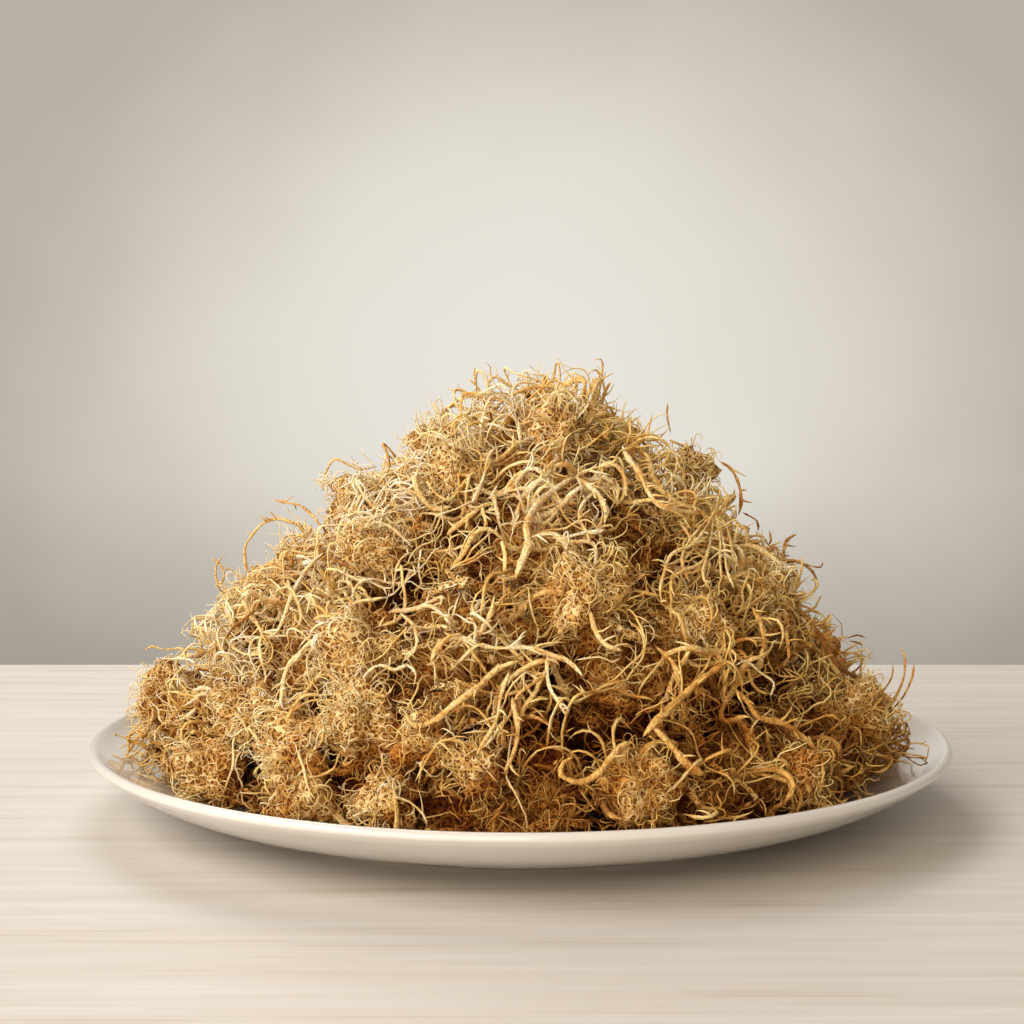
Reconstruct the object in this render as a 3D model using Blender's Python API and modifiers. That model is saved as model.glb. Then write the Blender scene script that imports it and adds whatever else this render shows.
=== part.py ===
"""A heap of dried golden sea moss on a round white plate.

The heap is made of tangled clumps, each one its own solid: a lumpy core with branching
strands that arch over it and stand out of it. Every clump keeps to its own share of the
heap, so no two of them cross. The plate is one turned piece.

Run it with: blender --background --python part.py
Units are metres, +Z is up, the plate's foot stands on Z = 0, and the heap's front is -Y.
"""

import math

import bmesh
import bpy
import numpy as np
from mathutils import Vector

# The plate: a shallow coupe with a rolled lip and a low foot ring
PLATE_RADIUS = 0.175
PLATE_HEIGHT = 0.028
PLATE_FLOOR = 0.0078
WELL_RADIUS = 0.104
FOOT_RADIUS = 0.116
FOOT_WIDTH = 0.005
FOOT_HEIGHT = 0.0026
FOOT_ROUND = 0.0006
LIP_WIDTH = 0.0030
LIP_DROP = 0.0024
LIP_ROUND = 0.0006
RIM_CURVE = 1.9
SIDE_CURVE = 2.3
PLATE_STEPS = 48

# The heap: its outline is a rounded cone, (rho / radius)^SPREAD + level^RISE = 1, where the
# level is the share of the heap's height; its axis leans towards +X by LEAN at the top
HEAP_RADIUS = 0.159
HEAP_FOOT = 0.030
HEAP_TOP = 0.176
SPREAD = 1.35
RISE = 1.1
LEAN = 0.009
# Swellings of the outline: share of the radius, waves round the heap, waves per metre of
# height and phase
LUMPS = ((0.022, 2, 0, 1.1), (0.018, 3, 14, -0.6), (0.014, 5, 40, 0.0))

# The clumps, in rings from the rim to the crown: azimuths in degrees (0 is the front, 90 is
# +X), height of the ring on the heap, and how deep under the surface a clump's middle lies
BASE_RING = (-70, -36, -4, 27, 60, 102, 147, 192, 240)
BASE_HEIGHT = 0.042
MIDDLE_RING = (-54, -12, 26, 70, 145, 222)
MIDDLE_HEIGHT = 0.088
UPPER_RING = (-52, 14, 84, 190)
UPPER_HEIGHT = 0.129
CLUMP_DEPTH = 0.043
CROWN_DEPTH = 0.047

# The clumps' cores
GAP = 0.0004
PLATE_CLEAR = 0.0007
RIM_CLEAR = 0.004
SLOPE_SHARE = 1.2
CORE_DEPTH = 0.0095
CORE_SHARPNESS = 12.0
CORE_LUMP = 0.0022
CORE_SHRINK = 0.13
SHOWN_FROM = 0.2

# The strands: rows side by side over the shown cap of a clump, in angles from its middle
ROWS = 6
HALF_CAP = math.radians(82)
HALF_ROWS = math.radians(66)
ROW_STEP = math.radians(20)
ROW_WOBBLE = 0.05
DRIFT = 0.22
STRAND_RADIUS = (0.0027, 0.0038)
TIP_SHARE = 0.55
ROOT_SINK = 0.0045
LIFT = (0.0020, 0.0065)
LIFT_WAVE = 0.0015
ARCH_SHARE = 0.25
ARCH_LIFT = 0.009
FREE_SHARE = 0.35
FREE_LIFT = (0.003, 0.008)

# The short side branches on the strands: how far they point along the strand, across it and
# outwards, and how much of each a step adds as they curl over
TWIG_SHARE = 0.7
TWIG_THICKNESS = 0.7
TWIG_STEPS = 2
TWIG_STEP = 0.0085
TWIG_START = np.array([0.7, 0.5, 0.9])
TWIG_CURL = np.array([0.45, -0.25])
TWIG_CHANCE = 0.2

REACH = 0.30
SEED = 7
GOLD = (0.62, 0.37, 0.12, 1.0)
WHITE = (0.88, 0.88, 0.86, 1.0)


def clear_scene():
    """Removes the startup scene's objects."""
    for item in list(bpy.data.objects):
        bpy.data.objects.remove(item)


def collection_named(name):
    made = bpy.data.collections.new(name)
    bpy.context.scene.collection.children.link(made)
    return made


def finish(name, colour, roughness):
    """A Principled material of that colour and roughness."""
    made = bpy.data.materials.new(name)
    made.use_nodes = True
    shader = made.node_tree.nodes["Principled BSDF"]
    shader.inputs["Base Color"].default_value = colour
    shader.inputs["Roughness"].default_value = roughness
    shader.inputs["Metallic"].default_value = 0.0
    return made


def lumps(angle, z):
    """How far the heap's radius swells or shrinks with the direction and the height."""
    swell = (size * np.sin(turns * angle + rise * z + phase) for size, turns, rise, phase in LUMPS)
    return 1 + sum(swell)


def heap_height(points):
    """Distance above the heap's outline, roughly, and the outward normal there."""
    x, y, z = points[..., 0], points[..., 1], points[..., 2]
    rise = HEAP_TOP - HEAP_FOOT
    level = np.clip((z - HEAP_FOOT) / rise, 1e-6, None)
    x = x - LEAN * level**2
    rho = np.maximum(np.hypot(x, y), 1e-6)
    radius = HEAP_RADIUS * lumps(np.arctan2(x, -y), z)
    value = (rho / radius) ** SPREAD + level**RISE - 1
    out = SPREAD * (rho / radius) ** (SPREAD - 1) / radius
    up = RISE * level ** (RISE - 1) / rise
    steepness = np.maximum(np.hypot(out, up), 1.0)
    normal = np.stack([out * x / rho, out * y / rho, up], -1)
    normal /= np.linalg.norm(normal, axis=-1, keepdims=True)
    return value / steepness, normal


def plate_top(rho):
    """Height of the plate's upper face at that distance from its centre."""
    share = np.clip((rho - WELL_RADIUS) / (PLATE_RADIUS - WELL_RADIUS), 0, None)
    return PLATE_FLOOR + (PLATE_HEIGHT - PLATE_FLOOR) * share**RIM_CURVE


def clump_middles():
    """Name, middle and outward direction of each clump, ring by ring."""
    found = []
    rings = (
        ("base", BASE_RING, BASE_HEIGHT),
        ("middle", MIDDLE_RING, MIDDLE_HEIGHT),
        ("upper", UPPER_RING, UPPER_HEIGHT),
    )
    for ring, azimuths, height in rings:
        for number, azimuth in enumerate(azimuths, 1):
            way = np.array(
                [math.sin(math.radians(azimuth)), -math.cos(math.radians(azimuth)), 0]
            )
            surface = on_heap(way, height)
            normal = heap_height(surface)[1]
            found.append((f"clump_{ring}_{number}", surface - CLUMP_DEPTH * normal, normal))
    top = np.array([LEAN, 0.0, HEAP_TOP - CROWN_DEPTH])
    found.append(("clump_crown", top, np.array([0.0, 0.0, 1.0])))
    return found


def on_heap(way, height):
    """The point of the heap's outline in that horizontal direction, at that height."""
    near, far = 0.0, REACH
    for _ in range(40):
        half = (near + far) / 2
        point = half * way + np.array([0, 0, height])
        if heap_height(point)[0] < 0:
            near = half
        else:
            far = half
    return near * way + np.array([0, 0, height])


class Cell:
    """One clump's share of the heap: what lies nearer to its middle than to any other's."""

    def __init__(self, middle, others):
        self.middle = middle
        ways = others - middle
        spans = np.linalg.norm(ways, axis=1)
        self.normals = ways / spans[:, None]
        self.walls = spans / 2 - GAP

    def pull_in(self, point, margin):
        """The point moved until it keeps that margin to every wall, the heap's foot and the lip."""
        point = point.copy()
        for _ in range(60):
            over = self.normals @ (point - self.middle) - (self.walls - margin)
            worst = int(np.argmax(over))
            moved = over[worst] > 1e-7
            if moved:
                point -= over[worst] * self.normals[worst]
            rho = math.hypot(point[0], point[1])
            most = PLATE_RADIUS - RIM_CLEAR - margin
            if rho > most:
                point[:2] *= most / rho
                moved = True
            # The rim slopes up, so a strand over it needs more than its own radius
            floor = float(plate_top(rho)) + SLOPE_SHARE * margin + PLATE_CLEAR
            if point[2] < floor - 1e-7:
                point[2] = floor
                moved = True
            if not moved:
                break
        return point

    def surface(self, ways, outward):
        """Distance from the middle to the core's surface in each direction."""
        near = np.zeros(len(ways))
        far = np.full(len(ways), REACH)
        for _ in range(40):
            half = (near + far) / 2
            at = self.middle + half[:, None] * ways
            floor = plate_top(np.hypot(at[:, 0], at[:, 1])) + PLATE_CLEAR
            inside = (heap_height(at)[0] < -CORE_DEPTH) & (at[:, 2] > floor)
            near, far = np.where(inside, half, near), np.where(inside, far, half)
        facing = ways @ self.normals.T
        walls = np.where(facing > 1e-3, self.walls / np.maximum(facing, 1e-3), 10 * REACH)
        hard = np.minimum(near, walls.min(1))
        shares = np.concatenate([near[:, None], walls], 1) ** -CORE_SHARPNESS
        soft = shares.sum(1) ** (-1 / CORE_SHARPNESS)
        return np.where(ways @ outward > 0, soft, np.minimum(hard, soft * 1.03))


def drift(ways, seed):
    """A smooth wandering vector for each direction, so that nothing runs straight."""
    x, y, z = (2.3 * ways).T
    return np.stack(
        [
            np.sin(1.7 * y + seed) * np.cos(1.3 * z - seed),
            np.sin(1.9 * z + 2 * seed) * np.cos(1.5 * x + seed),
            np.sin(1.6 * x - seed) * np.cos(1.8 * y + 3 * seed),
        ],
        1,
    )


def ways_over(outward, turn, along, across, seed):
    """Directions from a clump's middle, given by two angles over the cap that faces outwards."""
    first, second = np.linalg.svd(outward[None])[2][1:]
    forth = math.cos(turn) * first + math.sin(turn) * second
    aside = np.cross(outward, forth)
    tilt = np.maximum(np.hypot(along, across), 1e-6)[:, None]
    flat = (along[:, None] * forth + across[:, None] * aside) / tilt
    ways = np.cos(tilt) * outward + np.sin(tilt) * flat
    ways = ways + DRIFT * drift(ways, seed)
    return ways / np.linalg.norm(ways, axis=1)[:, None]


def core_mesh(name, cell, outward, seed):
    """The clump's core: a lumpy ball pushed out to the walls of its cell, finer where it shows."""
    bm = bmesh.new()
    bmesh.ops.create_icosphere(bm, subdivisions=2, radius=1)
    middles = ((face, face.calc_center_median().normalized()) for face in bm.faces)
    shown = [face for face, way in middles if way.dot(Vector(outward)) > SHOWN_FROM]
    edges = list({edge for face in shown for edge in face.edges})
    bmesh.ops.subdivide_edges(bm, edges=edges, cuts=1, use_grid_fill=True)
    bmesh.ops.triangulate(bm, faces=bm.faces[:])
    ways = np.array([v.co.normalized() for v in bm.verts])
    facing = np.clip(ways @ outward * 2, 0, 1)
    reach = cell.surface(ways, outward) * (1 - CORE_SHRINK * facing)
    reach -= CORE_LUMP * facing * (1 + drift(3 * ways, seed)[:, 0])
    for vert, place in zip(bm.verts, cell.middle + reach[:, None] * ways):
        vert.co = Vector(place)
    mesh = bpy.data.meshes.new(name)
    bm.to_mesh(mesh)
    bm.free()
    return mesh


def rows(cell, outward, number, rng):
    """Each strand of a clump and its side branch: a list of (points, root radius)."""
    made = []
    turn = 2.4 * number + 0.5
    for across in np.linspace(-HALF_ROWS, HALF_ROWS, ROWS):
        half = math.sqrt(HALF_CAP**2 - across**2)
        start, end = -half * rng.uniform(0.6, 1.0), half * rng.uniform(0.6, 1.0)
        count = max(5, round((end - start) / ROW_STEP) + 1)
        share = np.linspace(0, 1, count)
        wobble = ROW_WOBBLE * np.sin(8 * share + rng.uniform(0, 6))
        ways = ways_over(outward, turn, start + (end - start) * share, across + wobble, 1.3 * number)
        lift = rng.uniform(*LIFT) + LIFT_WAVE * np.sin(9 * share + rng.uniform(0, 6))
        if rng.random() < ARCH_SHARE:
            lift += ARCH_LIFT * np.sin(math.pi * share) ** 2
        skin = cell.surface(ways, outward)
        root = -CORE_SHRINK * skin - ROOT_SINK
        lift[0] = root[0]
        if rng.random() < FREE_SHARE:
            lift[-2:] += FREE_LIFT
        else:
            lift[-1] = root[-1]
        radius = rng.uniform(*STRAND_RADIUS)
        reach = skin + lift
        points = [cell.pull_in(p, radius) for p in cell.middle + reach[:, None] * ways]
        if rng.random() < 0.5:
            points.reverse()
        made.append((points, radius))
        if rng.random() < TWIG_SHARE:
            fork = rng.integers(1, count - 2)
            thin = TWIG_THICKNESS * radius
            made.append((twig_points(cell, points, fork, thin, rng), thin))
    return made


def twig_points(cell, points, fork, radius, rng):
    """A side branch: it leaves the strand at an angle, outwards, and curls over."""
    start = points[fork]
    ahead = points[fork + 1] - start
    ahead /= np.linalg.norm(ahead)
    normal = heap_height(start)[1]
    across = np.cross(normal, ahead) * rng.choice((-1, 1))
    heading = TWIG_START @ np.stack([ahead, across, normal])
    made = [start]
    for _ in range(TWIG_STEPS):
        heading /= np.linalg.norm(heading)
        made.append(cell.pull_in(made[-1] + TWIG_STEP * heading, radius))
        heading += TWIG_CURL @ np.stack([across, normal]) + TWIG_CHANCE * rng.normal(size=3)
    return made


def triangle_profile():
    """The three-sided section that every strand shares, a guide that isn't part of the heap."""
    data = bpy.data.curves.new("strand_section", "CURVE")
    data.dimensions = "2D"
    line = data.splines.new("POLY")
    line.points.add(2)
    for number, point in enumerate(line.points):
        turn = 2 * math.pi * number / 3
        point.co = (math.cos(turn), math.sin(turn), 0, 1)
    line.use_cyclic_u = True
    guide = bpy.data.objects.new("strand_section", data)
    guide.hide_render = True
    guide.display_type = "WIRE"
    return guide


def strand(name, points, radius, section, collection):
    """One closed tube through the points, tapering to its tip."""
    data = bpy.data.curves.new(name, "CURVE")
    data.dimensions = "3D"
    data.bevel_mode = "OBJECT"
    data.bevel_object = section
    data.use_fill_caps = True
    line = data.splines.new("POLY")
    line.points.add(len(points) - 1)
    for number, (point, place) in enumerate(zip(line.points, points)):
        point.co = (*place, 1)
        share = number / (len(points) - 1)
        point.radius = radius * (1 - (1 - TIP_SHARE) * share)
    curve = bpy.data.objects.new(name, data)
    collection.objects.link(curve)
    graph = bpy.context.evaluated_depsgraph_get()
    mesh = bpy.data.meshes.new_from_object(curve.evaluated_get(graph))
    bpy.data.objects.remove(curve)
    bpy.data.curves.remove(data)
    bm = bmesh.new()
    bm.from_mesh(mesh)
    bmesh.ops.remove_doubles(bm, verts=bm.verts[:], dist=1e-6)
    bmesh.ops.recalc_face_normals(bm, faces=bm.faces[:])
    bm.to_mesh(mesh)
    bm.free()
    made = bpy.data.objects.new(name, mesh)
    collection.objects.link(made)
    return made


def joined(name, core, repeats, material, home):
    """The core with its strands fused on, as one object; the strands are removed."""
    body = bpy.data.objects.new(name, core)
    home.objects.link(body)
    union = body.modifiers.new("strands", "BOOLEAN")
    union.operation = "UNION"
    union.operand_type = "COLLECTION"
    union.collection = repeats
    union.solver = "MANIFOLD"
    graph = bpy.context.evaluated_depsgraph_get()
    mesh = bpy.data.meshes.new_from_object(body.evaluated_get(graph))
    body.modifiers.clear()
    for item in list(repeats.objects):
        bpy.data.objects.remove(item)
    bpy.data.collections.remove(repeats)
    mesh.materials.clear()
    mesh.materials.append(material)
    body.data = mesh
    keep_largest(mesh)
    mesh.name = name
    return body


def keep_largest(mesh):
    """Drops loose scraps and the skins of sealed hollows, and keeps the body with most corners."""
    bm = bmesh.new()
    bm.from_mesh(mesh)
    left, islands = set(bm.verts), []
    while left:
        island, edge = set(), [next(iter(left))]
        while edge:
            vert = edge.pop()
            if vert in island:
                continue
            island.add(vert)
            edge.extend(e.other_vert(vert) for e in vert.link_edges)
        left -= island
        islands.append(island)
    islands.sort(key=len)
    for island in islands[:-1]:
        bmesh.ops.delete(bm, geom=list(island), context="VERTS")
    bm.to_mesh(mesh)
    bm.free()


def plate(home):
    """The plate, turned from half of its section with a Screw."""
    top = [
        (rho, float(plate_top(rho)))
        for rho in np.linspace(WELL_RADIUS, PLATE_RADIUS - LIP_WIDTH, 5)
    ]
    lip = [(PLATE_RADIUS - LIP_ROUND, PLATE_HEIGHT), (PLATE_RADIUS, PLATE_HEIGHT - LIP_DROP)]
    outer = []
    for step in range(1, 4):
        share = step / 4
        rho = PLATE_RADIUS - (PLATE_RADIUS - FOOT_RADIUS) * share
        drop = (PLATE_HEIGHT - LIP_DROP - FOOT_HEIGHT) * (1 - (1 - share) ** SIDE_CURVE)
        outer.append((rho, PLATE_HEIGHT - LIP_DROP - drop))
    foot = [
        (FOOT_RADIUS, FOOT_HEIGHT),
        (FOOT_RADIUS - FOOT_ROUND, 0),
        (FOOT_RADIUS - FOOT_WIDTH, 0),
        (FOOT_RADIUS - FOOT_WIDTH - FOOT_ROUND, FOOT_HEIGHT),
        (0, FOOT_HEIGHT),
    ]
    section = [(0, PLATE_FLOOR)] + top + lip + outer + foot
    bm = bmesh.new()
    verts = [bm.verts.new((rho, 0, z)) for rho, z in section]
    for first, second in zip(verts, verts[1:]):
        bm.edges.new((first, second))
    mesh = bpy.data.meshes.new("plate")
    bm.to_mesh(mesh)
    bm.free()
    made = bpy.data.objects.new("plate", mesh)
    home.objects.link(made)
    turn = made.modifiers.new("turned", "SCREW")
    turn.steps = turn.render_steps = PLATE_STEPS
    turn.use_merge_vertices = True
    turn.merge_threshold = 1e-5
    mesh.materials.append(finish("white_porcelain", WHITE, 0.12))
    mesh.shade_smooth()
    return made


def main():
    clear_scene()
    home = collection_named("sea_moss")
    section = triangle_profile()
    home.objects.link(section)
    moss = finish("dried_sea_moss", GOLD, 0.75)
    clumps = clump_middles()
    middles = np.array([middle for _, middle, _ in clumps])
    for number, (name, middle, outward) in enumerate(clumps):
        rng = np.random.default_rng(SEED + number)
        cell = Cell(middle, np.delete(middles, number, 0))
        core = core_mesh(name, cell, outward, number)
        repeats = collection_named(f"{name}_strands")
        for index, (points, radius) in enumerate(rows(cell, outward, number, rng)):
            strand(f"{name}_strand_{index}", points, radius, section, repeats)
        joined(name, core, repeats, moss, home)
    plate(home)


main()
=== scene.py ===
"""Looks of a heap of dried golden sea moss on a round white plate.

The frame gives the plate and each clump of the heap as plain solids. Every one of them gets a
finer piece here, in the same place and of the same form. Metres, +Z up, the front is -Y.
"""

import math
import random

import bmesh
import bpy
import numpy as np
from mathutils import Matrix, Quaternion, Vector, noise
from mathutils.bvhtree import BVHTree


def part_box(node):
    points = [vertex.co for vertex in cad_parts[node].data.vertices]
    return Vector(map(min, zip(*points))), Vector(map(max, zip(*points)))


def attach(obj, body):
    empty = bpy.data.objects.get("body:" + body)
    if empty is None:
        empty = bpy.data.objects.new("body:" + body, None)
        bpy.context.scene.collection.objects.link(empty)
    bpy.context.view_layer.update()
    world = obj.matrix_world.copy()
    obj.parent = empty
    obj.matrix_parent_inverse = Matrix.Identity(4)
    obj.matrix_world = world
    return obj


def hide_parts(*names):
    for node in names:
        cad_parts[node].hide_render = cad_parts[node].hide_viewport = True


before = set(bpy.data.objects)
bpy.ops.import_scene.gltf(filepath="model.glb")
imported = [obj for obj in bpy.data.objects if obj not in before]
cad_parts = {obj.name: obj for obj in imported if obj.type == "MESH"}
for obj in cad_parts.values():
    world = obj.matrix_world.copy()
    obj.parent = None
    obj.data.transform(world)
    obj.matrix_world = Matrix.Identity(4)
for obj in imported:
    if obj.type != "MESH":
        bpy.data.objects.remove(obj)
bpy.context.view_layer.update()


# The camera stands a little above the heap's middle, 0.7 m in front of it, with a 60 mm lens
# on a 36 mm sensor, tipped down by a few degrees.
CAMERA_PLACE = Vector((-0.0034, -0.705, 0.165))
CAMERA_DROP = math.radians(3.8)
LENS = 60.0
SENSOR = 36.0
FRAME_PIXELS = 1024


def in_scene(name, data):
    """A new object with that data, linked to the scene."""
    made = bpy.data.objects.new(name, data)
    bpy.context.scene.collection.objects.link(made)
    return made


camera_data = bpy.data.cameras.new("camera")
camera_data.lens = LENS
camera_data.sensor_width = SENSOR
camera = in_scene("camera", camera_data)
camera.location = CAMERA_PLACE
camera.rotation_euler = (math.pi / 2 - CAMERA_DROP, 0, 0)
bpy.context.scene.camera = camera


# The plate: porcelain, jiggered in one piece with a shallow well, a rolled lip and a low foot
# ring. It is turned here from half of its section, and stands for the CAD plate.
PLATE_FLOOR = 0.0078
WELL_RADIUS = 0.104
WELL_POINTS = 18
RIM_CURVE = 1.9
LIP_THICKNESS = 0.0042
LIP_SWEEP = (math.radians(110), math.radians(-20))
LIP_POINTS = 9
SIDE_FOOT = 0.0056
SIDE_STEP = 0.0035
SIDE_CURVE = 2.3
SIDE_POINTS = 16
FOOT_RADIUS = 0.116
FOOT_WIDTH = 0.005
FOOT_HEIGHT = 0.0026
# Roundings of the foot ring: its edges, the corner above it, how far its outer and inner face
# lean, and how far in from them its sole is flat
FOOT_EDGE = 0.0006
FOOT_CORNER = 0.0016
FOOT_LEAN = (0.0004, 0.0008)
SOLE_INSET = (0.0014, 0.0008)
PLATE_TURNS = 144

_, plate_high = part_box("plate")
PLATE_RADIUS = plate_high.x
PLATE_HEIGHT = plate_high.z


def plate_top(rho):
    """Height of the plate's upper face at that distance from its centre."""
    share = max(0.0, (rho - WELL_RADIUS) / (PLATE_RADIUS - WELL_RADIUS))
    return PLATE_FLOOR + (PLATE_HEIGHT - PLATE_FLOOR) * share**RIM_CURVE


def linear(code):
    """The linear RGBA of an sRGB hex code such as #F2EFEA."""
    parts = [int(code[i : i + 2], 16) / 255 for i in (1, 3, 5)]
    return (*(c / 12.92 if c <= 0.04045 else ((c + 0.055) / 1.055) ** 2.4 for c in parts), 1.0)


def add(tree, kind, settings, sockets):
    """Adds a node with its settings; a socket takes a value or another node's output."""
    made = tree.nodes.new("ShaderNode" + kind)
    for name, value in settings.items():
        if name == "blend":
            made.color_ramp.interpolation = value
        elif name == "stops":
            ramp = made.color_ramp.elements
            while len(ramp) < len(value):
                ramp.new(0.5)
            for stop, (place, code) in zip(ramp, value):
                stop.position = place
                stop.color = linear(code)
        else:
            setattr(made, name, value)
    for key, value in sockets.items():
        if isinstance(value, bpy.types.NodeSocket):
            tree.links.new(value, made.inputs[key])
        else:
            made.inputs[key].default_value = value
    return made


def material_named(name):
    """An empty node material, and its tree."""
    made = bpy.data.materials.new(name)
    made.use_nodes = True
    made.node_tree.nodes.clear()
    return made, made.node_tree


def glazed_porcelain():
    """Fired white porcelain under a clear glaze: sharp highlights on a faintly wavy, milky white."""
    made, tree = material_named("glazed_porcelain")
    place = add(tree, "TexCoord", {}, {}).outputs["Object"]
    # Slow waves in the glaze, some 45 mm long
    waves = add(tree, "TexNoise", {}, {"Vector": place, "Scale": 22.0, "Detail": 2.0})
    tone = add(
        tree,
        "ValToRGB",
        {"stops": [(0.35, "#D2CFC9"), (0.65, "#D9D6D0")]},
        {"Fac": waves.outputs["Fac"]},
    )
    bump = add(
        tree,
        "Bump",
        {},
        {"Height": waves.outputs["Fac"], "Strength": 0.04, "Distance": 0.002},
    )
    shader = add(
        tree,
        "BsdfPrincipled",
        {},
        {
            "Base Color": tone.outputs["Color"],
            "Normal": bump.outputs["Normal"],
            "Roughness": 0.16,
            "IOR": 1.5,
            "Coat Weight": 0.6,
            "Coat Roughness": 0.06,
        },
    )
    add(tree, "OutputMaterial", {}, {"Surface": shader.outputs["BSDF"]})
    return made


def plate_section():
    """Half of the plate's section, from the middle of the well over the lip to the foot ring."""
    lip_radius = LIP_THICKNESS / 2
    start = PLATE_RADIUS - LIP_THICKNESS
    points = [(0.0, PLATE_FLOOR)]
    points += [(r, plate_top(r)) for r in np.linspace(WELL_RADIUS / 2, start, WELL_POINTS)]
    rho, level = PLATE_RADIUS - lip_radius, PLATE_HEIGHT - lip_radius
    for turn in np.linspace(*LIP_SWEEP, LIP_POINTS):
        points.append((rho + lip_radius * math.cos(turn), level + lip_radius * math.sin(turn)))
    rho, level = points[-1]
    for share in np.linspace(0, 1, SIDE_POINTS)[1:]:
        drop = (level - SIDE_FOOT) * (1 - (1 - share) ** SIDE_CURVE)
        points.append((rho + (FOOT_RADIUS + SIDE_STEP - rho) * share, level - drop))
    # The foot ring's corner and outer edge, its sole and inner edge, and the plate's underside
    outer = FOOT_RADIUS
    inner = FOOT_RADIUS - FOOT_WIDTH
    points += [(outer + FOOT_EDGE, SIDE_FOOT - FOOT_EDGE), (outer, SIDE_FOOT - FOOT_CORNER)]
    points += [(outer - FOOT_LEAN[0], FOOT_EDGE), (outer - SOLE_INSET[0], 0.0)]
    points += [(inner + SOLE_INSET[1], 0.0), (inner, FOOT_EDGE)]
    points += [(inner - FOOT_LEAN[1], FOOT_HEIGHT), (0.0, FOOT_HEIGHT)]
    return points


bm = bmesh.new()
verts = [bm.verts.new((rho, 0, z)) for rho, z in plate_section()]
edges = [bm.edges.new(pair) for pair in zip(verts, verts[1:])]
bmesh.ops.spin(
    bm,
    geom=verts + edges,
    cent=(0, 0, 0),
    axis=(0, 0, 1),
    angle=2 * math.pi,
    steps=PLATE_TURNS,
    use_merge=True,
)
bmesh.ops.remove_doubles(bm, verts=bm.verts[:], dist=1e-6)
bmesh.ops.recalc_face_normals(bm, faces=bm.faces[:])
mesh = bpy.data.meshes.new("porcelain_plate")
bm.to_mesh(mesh)
bm.free()
mesh.shade_smooth()
mesh.materials.append(glazed_porcelain())
plate = in_scene("porcelain_plate", mesh)
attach(plate, "root")
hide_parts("plate")


# The inside of each clump: moss packed so tight that single threads no longer show, with painted shade
# that makes it darker and more orange than the outside. It is the CAD clump itself, smoothed and
# roughened.
HEAP_RADIUS = 0.159
HEAP_FOOT = 0.030
HEAP_TOP = 0.176
SPREAD = 1.35
RISE = 1.1
LEAN = 0.009
# Swellings of the heap's outline: size, number round it, start, and how fast they wind up it
SWELLINGS = ((0.022, 2, 1.1, 0), (0.018, 3, -0.6, 14), (0.014, 5, 0, 40))
FOOT_INSET = 0.006
INSET_START = 0.02
INSET_SPAN = 0.06
# Four places where the heap is less full than that: middle, size, and how far it draws in
SHOULDERS = (
    (Vector((-0.097, -0.004, 0.111)), 0.017, 0.013),
    (Vector((0.085, -0.004, 0.130)), 0.017, 0.012),
    (Vector((-0.046, -0.004, 0.157)), 0.014, 0.008),
    (Vector((0.061, -0.004, 0.152)), 0.015, 0.010),
)
SHOWN_DEPTH = 0.032
BODY_LEVELS = 1
LUMP_SIZE = 0.006
LUMP_HEIGHT = 0.0009
TUFT_SIZE = 0.036
TUFT_BEND = 0.007
BEND_LENGTHS = 3
GROOVE_WIDTH = 0.26
GROOVE_DEPTH = 0.009
GROOVE_CURVE = 1.5
THREAD_ROOM = 0.004
# Painted shade on the moss: darker by its depth, in the grooves, low on the plate and in the holes
SHADE_START = 0.005
SHADE_SPAN = 0.030
GROOVE_SHADE = 0.5
LOW_SHADE = 0.15
LOW_LEVEL = 0.060
LOW_SPAN = 0.04
PIT_SHADE = 25
CAMERA_TILT = Quaternion((1, 0, 0), math.pi / 2 - CAMERA_DROP)
SIGHT_START = 0.50
SIGHT_STEP = 0.0015
SIGHT_STEPS = 260
# The deepest dark holes, as pixels of the photo
PIT_PIXELS = ((645, 567), (585, 678), (533, 690), (535, 745), (704, 737), (515, 800), (821, 709))
PIT_SINK = 0.004
PIT_SIZE = 0.0085
PIT_DEPTH = 0.015
NOISE_SEED = 7

clump_names = sorted(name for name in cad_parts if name.startswith("clump_"))
# Blender seeds its vector noise by the clock, which would give another tangle at each run
noise.seed_set(NOISE_SEED)


def heap_depth(point):
    """How far a point lies under the heap's outline, about, in metres; negative above it."""
    x, y, z = point
    level = max((z - HEAP_FOOT) / (HEAP_TOP - HEAP_FOOT), 1e-6)
    x -= LEAN * level**2
    rho = max(math.hypot(x, y), 1e-6)
    angle = math.atan2(x, -y)
    swell = 1.0
    for size, waves, start, wind in SWELLINGS:
        swell += size * math.sin(waves * angle + start + wind * z)
    radius = HEAP_RADIUS * swell
    out = SPREAD * (rho / radius) ** (SPREAD - 1) / radius
    up = RISE * level ** (RISE - 1) / (HEAP_TOP - HEAP_FOOT)
    return (1 - (rho / radius) ** SPREAD - level**RISE) / max(math.hypot(out, up), 1.0)


def drawn_in(point):
    """How far the heap draws in from its outline: near the plate, and at four hollow places."""
    depth = FOOT_INSET * min(1.0, max(0.0, 1 - (point.z - INSET_START) / INSET_SPAN))
    for place, size, dip in SHOULDERS:
        depth += dip * math.exp(-(((point - place).length / size) ** 2) / 2)
    return depth


def seen(px, py, lift):
    """The point of the heap, lifted off its outline, that the photo shows at that pixel."""
    focal = FRAME_PIXELS * LENS / SENSOR
    ray = CAMERA_TILT @ Vector((px - FRAME_PIXELS / 2, FRAME_PIXELS / 2 - py, -focal)).normalized()
    best, best_off = None, math.inf
    for count in range(SIGHT_STEPS):
        point = CAMERA_PLACE + (SIGHT_START + SIGHT_STEP * count) * ray
        off = drawn_in(point) - heap_depth(point) - lift
        if off < best_off:
            best, best_off = point, off
        if off < 0:
            break
    return best


pits = [seen(*pixel, -PIT_SINK) for pixel in PIT_PIXELS]


def pit(point):
    """How deep the moss dips at a point into one of the dark holes that the photo shows."""
    near = min((point - place).length for place in pits)
    return PIT_DEPTH * math.exp(-((near / PIT_SIZE) ** 2) / 2)


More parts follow.
